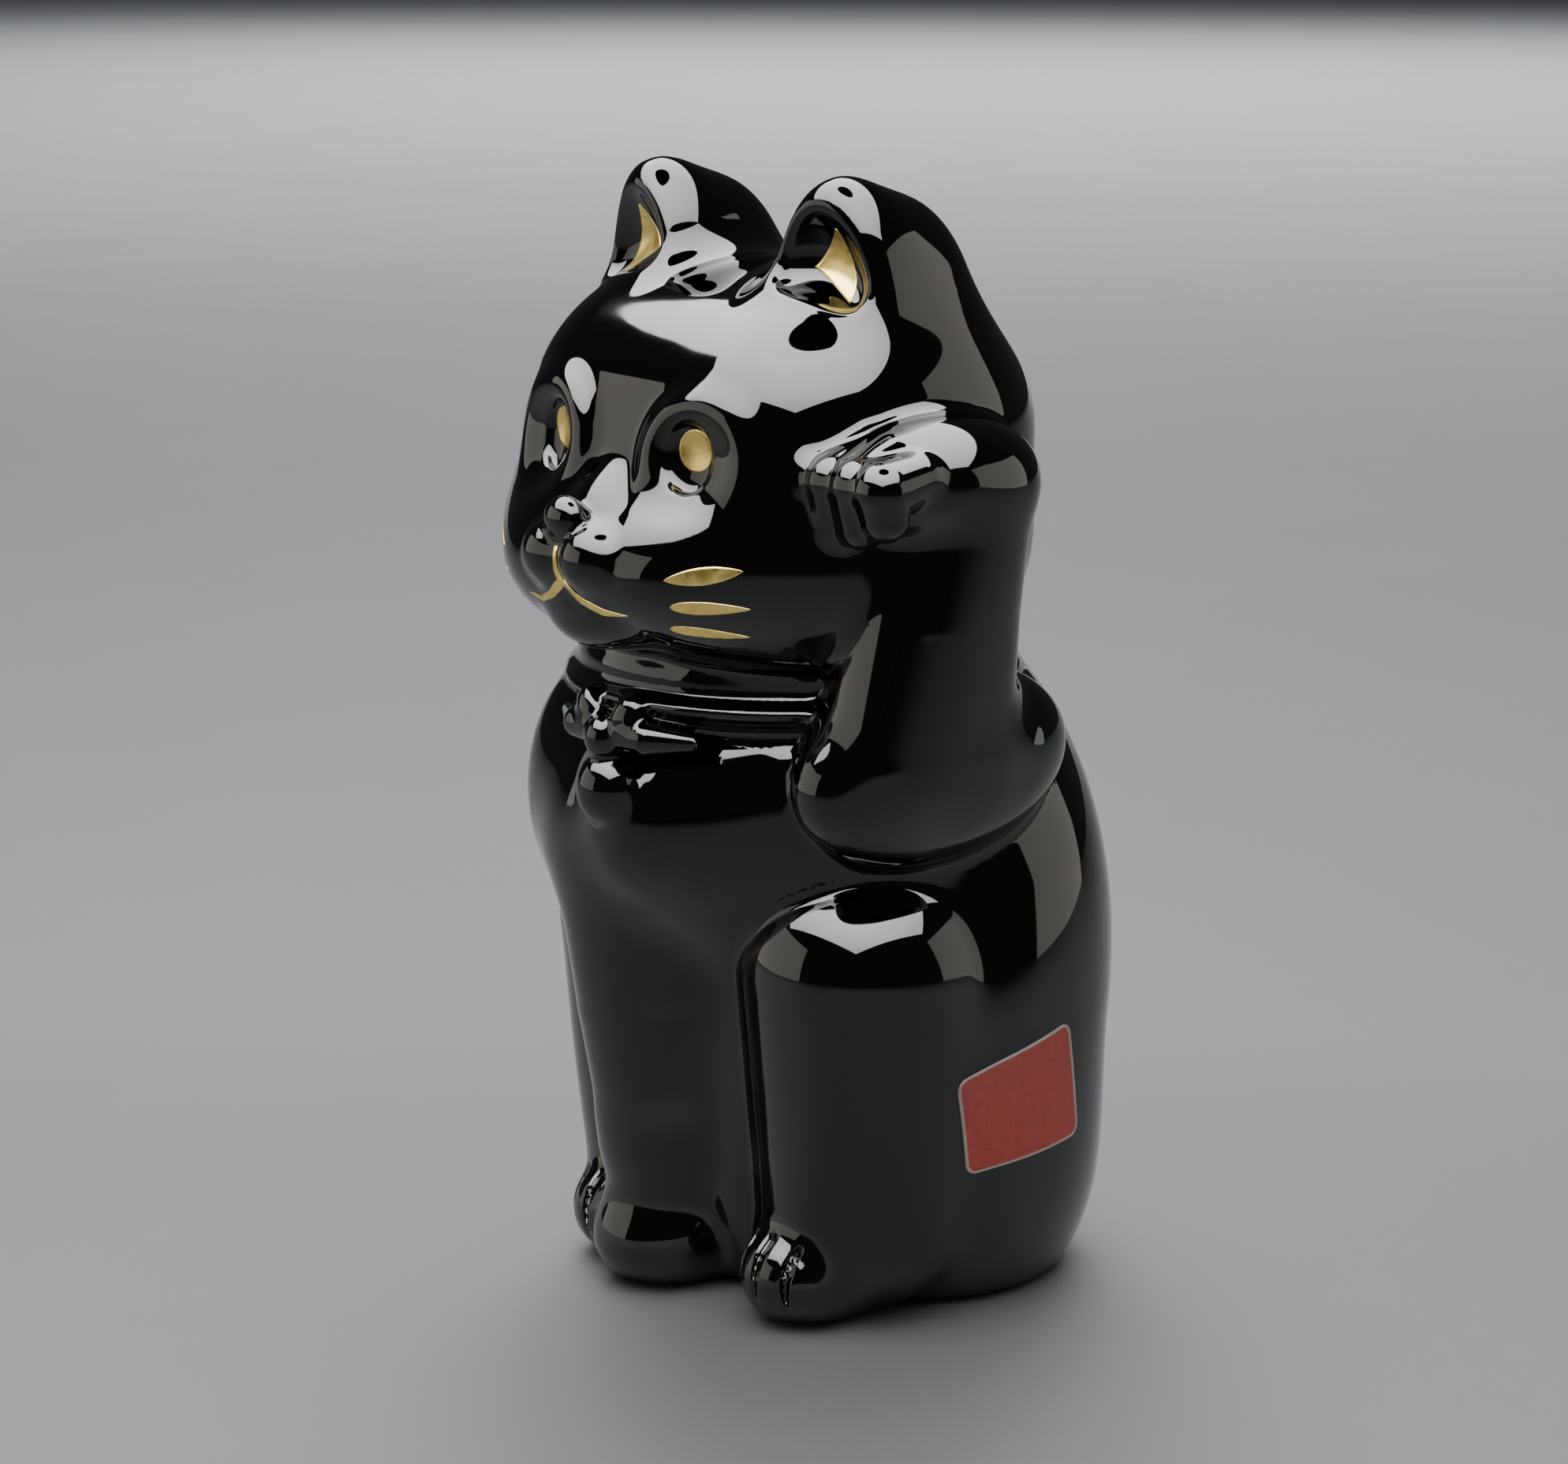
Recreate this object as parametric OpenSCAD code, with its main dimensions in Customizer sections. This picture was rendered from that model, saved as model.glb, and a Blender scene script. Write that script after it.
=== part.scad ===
// Sitting beckoning cat in black crystal, left paw raised, with fired-gold inlays.
// Millimetres, Z up, the cat faces -Y, its raised left paw is on +X, base on Z = 0.
// One pressed crystal casting; each gold film and the label are pieces of their own.

/* [Figure] */
// Overall height, base to ear tips
figure_h = 100; // [80:1:130]
// Overall width, right cheek to raised wrist
figure_w = 53; // [43:0.5:69]
// Overall depth, nose to back
figure_d = 57; // [46:0.5:74]

/* [Head] */
// Width across the cheeks
head_w = 48; // [40:0.5:54]
// Head depth, brow to nape
head_d = 44; // [38:0.5:48]
// Height of the head centre over the base
head_z = 76.2; // [74:0.1:79]
// Distance between the two ear centres
ear_gap = 23.4; // [20:0.2:28]
// Ear width across the figure
ear_w = 13; // [10:0.2:16]
// Ear depth, front to back
ear_d = 21.5; // [16:0.5:26]
// Ear height above its own centre
ear_h = 13.9; // [12:0.1:16]

/* [Face] */
// Distance between the two eye centres
eye_gap = 17; // [14:0.2:20]
// Height of the eye centres over the base
eye_z = 77; // [74:0.2:80]
// Diameter of the hollow round each eye
eye_bowl_d = 9; // [6:0.2:11]
// Diameter of the gold disc in each eye
eye_gold_d = 3.6; // [2.4:0.1:5]
// Length of a whisker recess
whisker_len = 7; // [5:0.1:9]
// Height of a whisker recess
whisker_h = 1.1; // [0.8:0.05:1.6]
// Width of the fired mouth line
mouth_line = 0.7; // [0.5:0.05:1.2]

/* [Body] */
// Width of the lower body
body_w = 49; // [43:0.5:55]
// Depth of the lower body
body_d = 45; // [39:0.5:49]
// Width of the haunches, centre to centre
haunch_gap = 25.6; // [22:0.2:30]
// Knee height over the base
knee_z = 32; // [27:0.5:35]
// Diameter of the collar bell
bell_d = 7.4; // [5:0.2:9]

/* [Paws] */
// Raised forearm thickness
arm_d = 13.2; // [11:0.2:16]
// Distance of the raised arm from the middle plane
arm_x = 22.3; // [20:0.1:24]
// Width of a foot
foot_w = 11.6; // [9:0.2:14]
// Half width of the grooves between the toes
toe_groove = 0.45; // [0.3:0.05:0.8]

/* [Trim] */
// Thickness of the fired gold films
film_t = 0.2; // [0.12:0.02:0.4]
// Thickness of the paper label
label_t = 0.15; // [0.1:0.01:0.3]
// Label width
label_w = 12.5; // [8:0.5:15]
// Label height
label_h = 10; // [6:0.5:12]

/* [Hidden] */
kx = figure_w / 53;
ky = figure_d / 57;
kz = figure_h / 100;
fine = 28;
ex = eye_gap / 2;
earx = ear_gap / 2;
eye_r = eye_bowl_d / 2;
bowl_r = (eye_r * eye_r + 4) / 4;
paw = [arm_d / 2, 10.6, 6.9];
foot = [foot_w / 2, 6.8, 5.2];
function foot_at(s) = [s * 12, -8.2, 4.2];
forefoot = [foot_w / 2 + 0.8, 7.4, 5.4];
forefoot_at = [-5, -10.6, 4.2];
cheek = [head_w / 2 - 5, head_d / 2 - 1.8, 12.4];
gold_colour = [0.83, 0.66, 0.28];
crystal_colour = [0.06, 0.06, 0.07];
label_colour = [0.78, 0.24, 0.2];

// ---------- helpers ----------
module figure() { scale([kx, ky, kz]) children(); }

// round ball, kept as its own convex hull
module ball(r, n = fine) hull() sphere(r, $fn = n);

// ellipsoid blob: centre, semi-axes, turn, growth
module blob(c, r, a = [0, 0, 0], g = 0, n = fine)
  translate(c) rotate(a) scale([r[0] + g, r[1] + g, r[2] + g]) ball(1, n);

// tapered limb between two balls
module limb(a, b, ra, rb, g = 0, n = fine)
  hull() {
    translate(a) sphere(ra + g, $fn = n);
    translate(b) sphere(rb + g, $fn = n);
  }

// thread of small balls through a list of points
module thread(pts, r, n = 6)
  for (i = [0 : len(pts) - 2])
    hull() {
      translate(pts[i]) sphere(r, $fn = n);
      translate(pts[i + 1]) sphere(r, $fn = n);
    }

// groove over the front of a blob, in the plane x = c[0] + off
module toe_cut(c, r, off, a0, a1, w, steps = 4) {
  k = sqrt(1 - pow(off / r[0], 2));
  thread([for (i = [0 : steps]) let (t = a0 + (a1 - a0) * i / steps)
    [c[0] + off, c[1] - r[1] * k * cos(t), c[2] + r[2] * k * sin(t)]], w);
}

// ---------- head ----------
module head_form()
  hull() {
    for (s = [-1, 1]) {
      blob([s * 6, -3.1, head_z], [head_w / 2 - 8.4, head_d / 2 - 2.4, 15.6]);
      blob([s * 5, -4.5, head_z - 8.4], [head_w / 2 - 5, cheek[1], cheek[2]]);
    }
  }

module muzzle_form() {
  blob([0, -19.5, 66], [9, 6.6, 6.2]);
  blob([3.2, -24, 66.9], [4.2, 3.5, 3.6], n = 20);
  blob([-3.2, -24, 66.9], [4.2, 3.5, 3.6], n = 20);
  blob([0, -25.7, 71.2], [2.4, 1.8, 1.7], n = 16);
  blob([0, -21.6, 75], [3.2, 3.6, 7.5], [-8, 0, 0], n = 18);
  blob([0, -21.6, 62.4], [5.6, 3.6, 3], n = 18);
}

module ear_form(s)
  blob([s * earx, -3.4, head_z + 9.6], [ear_w / 2, ear_d / 2, ear_h], [6, 0, 0]);

module ear_hollow(s, g = 0)
  limb([s * (earx + 1.5), -12.4, 88.6], [s * (earx + 0.4), -10, 95.2], 4.4, 1.9, g, 20);

module eye_bowl(s, g = 0)
  translate([s * ex, -19.8, eye_z]) rotate([0, 0, s * 12]) translate([0, -bowl_r, 0])
    ball(bowl_r + g, 30);

// head with its muzzle and ears, before any hollow
module face_form() {
  head_form();
  muzzle_form();
  for (s = [-1, 1]) ear_form(s);
}

// ---------- lower parts ----------
module torso_form(g = 0) {
  hull() {
    blob([0, 6.2, 30], [body_w / 2, body_d / 2, 32], g = g);
    blob([0, 6.2, 15], [body_w / 2 - 0.8, body_d / 2 - 0.6, 22], g = g);
    translate([0, 6.2, 1]) scale([body_w / 2 - 3.2 + g, body_d / 2 - 2.8 + g, 1])
      cylinder(r = 1, h = 2, center = true, $fn = 32);
  }
  blob([0, 0.3, 44.5], [20.4, 19.6, 16], g = g);
  hull() {
    blob([-1, -12.4, 43], [11, 8, 10], g = g, n = 24);
    blob([-12, -8.4, 43.5], [9.3, 9, 13], g = g, n = 24);
    blob([8, -5.5, 48], [9, 9, 8], g = g, n = 24);
  }
  blob([1.5, -7.4, 20], [9.5, 8.6, 25], g = g);
}

module haunch_form(s, g = 0) {
  limb([s * (haunch_gap / 2 + 0.3), -5.2, knee_z], [s * (haunch_gap / 2 - 0.5), -3.2, 8],
    9.5, 8.8, g);
  blob([s * 14.2, 2.5, 21], [9.6, 14, 18.5], g = g);
}

module foot_form(s) blob(foot_at(s), foot, n = 24);

module foreleg_form() {
  limb([-5, -11.4, 38], [-3, -11.6, 14], 8.6, 6);
  limb([-3, -11.4, 16], [-4.4, -10.6, 5], 6, 5.8);
  blob(forefoot_at, forefoot, n = 24);
}

module collar_form() {
  blob([0, -1.4, 56], [19.6, 19.6, 5.2]);
  blob([0, -1.6, 54], [20.3, 20.4, 2.4]);
}

module bow_form() {
  hull() { blob([1.2, -21, 52.4], [1.6, 1.6, 1.4], n = 12);
    blob([6.6, -19.2, 53], [2.4, 1.6, 2.6], n = 14); }
  hull() { blob([-1.2, -21, 52.4], [1.6, 1.6, 1.4], n = 12);
    blob([-6.6, -19.2, 53], [2.4, 1.6, 2.6], n = 14); }
  blob([0, -21, 52.4], [2.1, 1.9, 2], n = 14);
  translate([0, -20.7, 48]) ball(bell_d / 2, 20);
}

// ---------- raised arm ----------
module arm_form() {
  blob([arm_x - 2.9, -3.2, 50.4], [7.6, 14.2, 8.4], [8, 0, 0]);
  hull() {
    blob([arm_x - 1.4, -7, 51], [arm_d / 2 + 0.2, 8.4, 7], n = 24);
    blob([arm_x - 0.2, -4.4, 66], [arm_d / 2 - 0.4, 8, 6], n = 24);
    blob([arm_x, -2.6, 75], [arm_d / 2 - 0.6, 7, 6], n = 24);
  }
  blob([arm_x, -6.4, 77.4], paw, [10, 0, 0], n = 24);
}

module toe_grooves() {
  for (o = [-3.4, 0, 3.4])
    toe_cut([arm_x, -6.4, 77.4], paw, o, -44, 40, toe_groove);
  for (s = [-1, 1], o = [-2.6, 0, 2.6])
    toe_cut(foot_at(s), foot, o, -18, 48, toe_groove);
  for (o = [-2.8, 0, 2.8])
    toe_cut(forefoot_at, forefoot, o, -18, 48, toe_groove);
}

// ---------- gold films ----------
module eye_seat(s)
  intersection() {
    eye_bowl(s, film_t);
    translate([s * ex, -19.8, eye_z + 0.2]) rotate([90, 0, s * 12])
      cylinder(d = eye_gold_d, h = 4, center = true, $fn = 24);
    face_form();
  }

module eye_film(s) difference() { eye_seat(s); eye_bowl(s); }

module ear_seat(s)
  intersection() {
    ear_hollow(s, film_t);
    translate([s * (earx + 0.6), -4, 0]) rotate([90, 0, 0]) linear_extrude(7)
      polygon([[-2.5, 89.4], [2.9, 88.6], [0, 95.8]]);
    face_form();
  }

module ear_film(s) difference() { ear_seat(s); ear_hollow(s); }

// the cheek's surface: depth at (x, z), and the turn that faces its outward normal
function cheek_y(x, z) = -4.5 - cheek[1]
  * sqrt(max(0.02, 1 - pow((x - 5) / cheek[0], 2) - pow((z - head_z + 8.4) / cheek[2], 2)));
function cheek_n(x, z) = let (v = [(x - 5) / pow(cheek[0], 2),
  (cheek_y(x, z) + 4.5) / pow(cheek[1], 2), (z - head_z + 8.4) / pow(cheek[2], 2)])
  v / norm(v);

// whisker centres: x, z, rise of the outer end in degrees
function whisker_at(n) = [[11.6, 66.9, 11], [11.5, 64.2, 2], [11.2, 61.6, -9]][n];

module whisker_cut(s, n, g = 0) {
  w = whisker_at(n);
  nv = cheek_n(w[0], w[1]);
  mirror([s < 0 ? 1 : 0, 0, 0])
    translate([w[0], cheek_y(w[0], w[1]), w[1]])
      rotate([-asin(nv[2]), 0, atan2(nv[0], -nv[1])]) rotate([0, -w[2], 0])
        scale([whisker_len / 2 + g, 0.42 + g, whisker_h / 2 + g]) ball(1, 18);
}

module whisker_film(s, n)
  intersection() {
    difference() { whisker_cut(s, n, film_t); whisker_cut(s, n); }
    face_form();
  }

module mouth_line_form() {
  r = mouth_line / 2;
  thread([[0, -27.3, 69.2], [0, -27.1, 66], [0, -27, 65.6]], r);
  thread([[0, -27, 65.6], [1.6, -27.4, 64.6], [3.4, -26.6, 64], [5.2, -25, 63.9]], r);
  thread([[0, -27, 65.6], [-1.6, -27.4, 64.6], [-3.4, -26.6, 64], [-5.2, -25, 63.9]], r);
}

// ---------- label ----------
module label_column()
  translate([12, 6, 20]) rotate([0, 0, 83]) rotate([90, 0, 0]) rotate([0, 0, 10])
    linear_extrude(30) offset(1.2, $fn = 16)
      square([label_w - 2.4, label_h - 2.4], center = true);

module lower_skin(g = 0) {
  torso_form(g);
  haunch_form(1, g);
}

// ---------- nodes ----------
module crystal_solid() {
  difference() {
    union() {
      difference() {
        face_form();
        for (s = [-1, 1]) { ear_hollow(s); eye_bowl(s); }
      }
      torso_form();
      for (s = [-1, 1]) { haunch_form(s); foot_form(s); }
      foreleg_form();
      collar_form();
      bow_form();
      arm_form();
    }
    toe_grooves();
    for (s = [-1, 1]) {
      eye_seat(s);
      ear_seat(s);
      for (n = [0 : 2]) whisker_cut(s, n, film_t);
    }
    mouth_line_form();
    translate([-60, -60, -40]) cube([120, 120, 40]);
  }
}

module crystal_body() color(crystal_colour) figure() crystal_solid();
module eye_gilding(s) color(gold_colour) figure() eye_film(s);
module ear_gilding(s) color(gold_colour) figure() ear_film(s);
module mouth_gilding() color(gold_colour) figure() mouth_line_form();
module whisker(s, n) color(gold_colour) figure() whisker_film(s, n);
module haunch_label() color(label_colour) figure()
  difference() {
    intersection() { lower_skin(label_t); label_column(); }
    lower_skin();
  }

crystal_body();
eye_gilding(1);  // left_eye_gilding
eye_gilding(-1);  // right_eye_gilding
ear_gilding(1);  // left_ear_gilding
ear_gilding(-1);  // right_ear_gilding
mouth_gilding();
whisker(1, 0);  // left_whisker_upper
whisker(1, 1);  // left_whisker_middle
whisker(1, 2);  // left_whisker_lower
whisker(-1, 0);  // right_whisker_upper
whisker(-1, 1);  // right_whisker_middle
whisker(-1, 2);  // right_whisker_lower
haunch_label();
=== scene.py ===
"""Beckoning cat in black crystal, with fired-gold inlays and a blank paper label.

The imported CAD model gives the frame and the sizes. The casting is built here as one
continuous fire-polished surface: blobs and limbs run into each other, hollows and grooves
are carved in, and a remeshed skin is drawn on to that form. The gold films and the label
are thin patches laid on the same form. Millimetres inside, metres in the finished meshes.
"""

import logging
import math
from dataclasses import dataclass, field
from enum import Enum
from typing import Callable, Iterable, Sequence

import bmesh
import bpy
import numpy as np
from mathutils import Matrix, Vector

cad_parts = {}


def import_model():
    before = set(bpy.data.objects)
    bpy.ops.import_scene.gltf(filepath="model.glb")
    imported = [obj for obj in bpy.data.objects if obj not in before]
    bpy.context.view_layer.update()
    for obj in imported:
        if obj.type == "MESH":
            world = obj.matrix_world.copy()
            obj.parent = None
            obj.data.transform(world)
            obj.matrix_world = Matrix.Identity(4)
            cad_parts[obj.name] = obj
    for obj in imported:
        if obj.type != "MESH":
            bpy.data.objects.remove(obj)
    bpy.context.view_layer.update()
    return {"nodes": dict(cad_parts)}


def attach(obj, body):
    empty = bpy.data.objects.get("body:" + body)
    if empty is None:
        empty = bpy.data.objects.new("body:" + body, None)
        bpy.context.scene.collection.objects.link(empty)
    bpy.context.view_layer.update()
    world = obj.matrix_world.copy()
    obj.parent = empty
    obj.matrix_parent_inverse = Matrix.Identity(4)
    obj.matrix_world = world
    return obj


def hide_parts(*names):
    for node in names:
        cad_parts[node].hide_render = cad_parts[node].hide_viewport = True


MM = 0.001
OUTSIDE = 60.0  # field value before any shape is joined
SLOPE_STEP = 0.02  # step of the numerical gradient
DROP_START = 2.5  # how far outside a film starts before it is dropped on to the form
DROP_STEPS = 60
FLOOR_HALF = 4.0  # metres
Point = tuple[float, float, float]
Array = np.ndarray

log = logging.getLogger("cat")


class Side(Enum):
    """The cat's own left (+X) and right (-X)."""

    LEFT = 1
    RIGHT = -1


class Joining(Enum):
    """How a shape meets the form built so far."""

    ADD = "add"
    CARVE = "carve"


# ---------------------------------------------------------------- form


def turn_matrix(turn: Point) -> Array:
    """Rotation matrix of three turns in degrees, about X, then Y, then Z.

    Args:
        turn: the three turns.

    Returns:
        A 3 by 3 matrix.
    """
    ax, ay, az = (math.radians(v) for v in turn)
    cx, sx, cy, sy, cz, sz = (
        math.cos(ax), math.sin(ax), math.cos(ay), math.sin(ay), math.cos(az), math.sin(az),
    )
    rx = np.array([[1, 0, 0], [0, cx, -sx], [0, sx, cx]])
    ry = np.array([[cy, 0, sy], [0, 1, 0], [-sy, 0, cy]])
    rz = np.array([[cz, -sz, 0], [sz, cz, 0], [0, 0, 1]])
    return rz @ ry @ rx


def smooth_low(a: Array, b: Array, k: float) -> Array:
    """The lower of two fields, rounded over a width k where they cross."""
    h = np.maximum(k - np.abs(a - b), 0.0) / k
    return np.minimum(a, b) - h * h * k * 0.25


def smooth_high(a: Array, b: Array, k: float) -> Array:
    """The higher of two fields, rounded over a width k where they cross."""
    return -smooth_low(-a, -b, k)


@dataclass(frozen=True)
class Blob:
    """An ellipsoid, which may be drawn out sideways by a flat stretch along its own X."""

    centre: Point
    radii: Point
    turn: Point = (0.0, 0.0, 0.0)
    stretch: float = 0.0

    def mirrored(self) -> "Blob":
        """The same blob on the other side of the middle plane."""
        c, t = self.centre, self.turn
        return Blob((-c[0], c[1], c[2]), self.radii, (t[0], -t[1], -t[2]), self.stretch)

    def reach(self) -> tuple[Array, float]:
        """Centre and radius of a ball that holds it."""
        return np.array(self.centre, float), max(self.radii) + self.stretch

    def value(self, p: Array) -> Array:
        """Approximate signed distance at each point."""
        q = (p - np.array(self.centre)) @ turn_matrix(self.turn)
        if self.stretch:
            q = q.copy()
            q[:, 0] = np.sign(q[:, 0]) * np.maximum(np.abs(q[:, 0]) - self.stretch, 0.0)
        r = np.array(self.radii)
        k0 = np.sqrt(((q / r) ** 2).sum(1))
        k1 = np.sqrt(((q / (r * r)) ** 2).sum(1))
        return np.where(k0 < 1e-6, -r.min(), k0 * (k0 - 1.0) / np.maximum(k1, 1e-9))

    def seed(self, bm: bmesh.types.BMesh) -> None:
        """Adds a rough ball of this shape to a mesh."""
        base = Matrix.Translation(Vector(self.centre)) @ Matrix(
            turn_matrix(self.turn).tolist()
        ).to_4x4()
        for dx in {-self.stretch, 0.0, self.stretch}:
            place = base @ Matrix.Translation((dx, 0, 0)) @ Matrix.Diagonal((*self.radii, 1))
            bmesh.ops.create_icosphere(bm, subdivisions=3, radius=1.0, matrix=place)


@dataclass(frozen=True)
class Limb:
    """A chain of round rods through points, with a radius at each."""

    points: tuple[Point, ...]
    radii: tuple[float, ...]

    def mirrored(self) -> "Limb":
        """The same limb on the other side of the middle plane."""
        return Limb(tuple((-x, y, z) for x, y, z in self.points), self.radii)

    def reach(self) -> tuple[Array, float]:
        """Centre and radius of a ball that holds it."""
        p = np.array(self.points, float)
        c = (p.min(0) + p.max(0)) / 2
        return c, float(np.linalg.norm(p - c, axis=1).max() + max(self.radii))

    def value(self, p: Array) -> Array:
        """Signed distance at each point."""
        out = None
        for a, b, ra, rb in zip(self.points, self.points[1:], self.radii, self.radii[1:]):
            a_, ab = np.array(a), np.array(b) - np.array(a)
            t = np.clip((p - a_) @ ab / max(float(ab @ ab), 1e-9), 0, 1)
            d = np.linalg.norm(p - a_ - t[:, None] * ab, axis=1) - (ra + (rb - ra) * t)
            out = d if out is None else np.minimum(out, d)
        return out

    def seed(self, bm: bmesh.types.BMesh) -> None:
        """Adds rough balls along the limb to a mesh."""
        for a, b, ra, rb in zip(self.points, self.points[1:], self.radii, self.radii[1:]):
            for i in range(9):
                t = i / 8
                c = Vector(a).lerp(Vector(b), t)
                bmesh.ops.create_icosphere(
                    bm, subdivisions=3, radius=ra + (rb - ra) * t, matrix=Matrix.Translation(c)
                )


@dataclass(frozen=True)
class Ring:
    """A soft oval ring that lies across its own Y axis."""

    centre: Point
    radii: tuple[float, float]
    thick: float
    turn: Point = (0.0, 0.0, 0.0)

    def mirrored(self) -> "Ring":
        """The same ring on the other side of the middle plane."""
        c, t = self.centre, self.turn
        return Ring((-c[0], c[1], c[2]), self.radii, self.thick, (t[0], -t[1], -t[2]))

    def reach(self) -> tuple[Array, float]:
        """Centre and radius of a ball that holds it."""
        return np.array(self.centre, float), max(self.radii) + self.thick

    def value(self, p: Array) -> Array:
        """Approximate signed distance at each point."""
        q = (p - np.array(self.centre)) @ turn_matrix(self.turn)
        rx, rz = self.radii
        k = np.sqrt((q[:, 0] / rx) ** 2 + (q[:, 2] / rz) ** 2)
        g = np.sqrt((q[:, 0] / rx**2) ** 2 + (q[:, 2] / rz**2) ** 2)
        flat = k * (k - 1.0) / np.maximum(g, 1e-6)
        return np.sqrt(flat**2 + q[:, 1] ** 2) - self.thick

    def seed(self, bm: bmesh.types.BMesh) -> None:
        """A ring needs no seed: it only shapes a surface that is already there."""


Shape = Blob | Limb | Ring


@dataclass
class Form:
    """Shapes joined in order into one smooth solid that stands on a flat ground base."""

    steps: list[tuple[Joining, Shape, float]] = field(default_factory=list)
    parts: list[tuple["Form", float]] = field(default_factory=list)
    base_edge: float | None = None

    def add(self, shape: Shape, k: float, both: bool = False) -> None:
        """Joins a shape, run in over a width k, and its mirror image too if both is set."""
        self.steps.append((Joining.ADD, shape, k))
        if both:
            self.steps.append((Joining.ADD, shape.mirrored(), k))

    def carve(self, shape: Shape, k: float, both: bool = False) -> None:
        """Takes a shape away, with its rim rounded over a width k."""
        self.steps.append((Joining.CARVE, shape, k))
        if both:
            self.steps.append((Joining.CARVE, shape.mirrored(), k))

    def value(self, p: Array) -> Array:
        """Approximate signed distance to the finished solid.

        Args:
            p: points in millimetres, one a row.

        Returns:
            One number a point, negative inside.
        """
        d = np.full(len(p), OUTSIDE)
        for part, k in self.parts:
            d = smooth_low(d, part.value(p), k)
        for joining, shape, k in self.steps:
            centre, radius = shape.reach()
            near = np.linalg.norm(p - centre, axis=1) < radius + k + 5.0
            if not near.any():
                continue
            v, old = shape.value(p[near]), d[near]
            if joining is Joining.ADD:
                d[near] = smooth_low(old, v, k)
            else:
                d[near] = smooth_high(old, -v, k)
        if self.base_edge is not None:
            d = smooth_high(d, -p[:, 2], self.base_edge)
        return d

    def slope(self, p: Array) -> tuple[Array, Array]:
        """Value and gradient at each point.

        Args:
            p: points in millimetres, one a row.

        Returns:
            The values, and one gradient vector a point.
        """
        d = self.value(p)
        rise = [self.value(p + np.eye(3)[i] * SLOPE_STEP) - d for i in range(3)]
        g = np.stack(rise, axis=1) / SLOPE_STEP
        return d, g

    def normals(self, p: Array) -> Array:
        """Outward unit normals near the surface."""
        _, g = self.slope(p)
        return g / np.maximum(np.linalg.norm(g, axis=1), 1e-9)[:, None]

    def seeds(self, bm: bmesh.types.BMesh) -> None:
        """Adds rough solids of all the joined shapes to a mesh."""
        for part, _ in self.parts:
            part.seeds(bm)
        for joining, shape, _ in self.steps:
            if joining is Joining.ADD:
                shape.seed(bm)


@dataclass(frozen=True)
class CatSizes:
    """Where the figure's features lie, in millimetres."""

    head_z: float = 76.2
    ear_x: float = 11.7
    eye_x: float = 8.5
    eye_z: float = 77.0
    arm_x: float = 22.3
    arm_r: float = 6.6
    foot_x: float = 12.0


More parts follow.
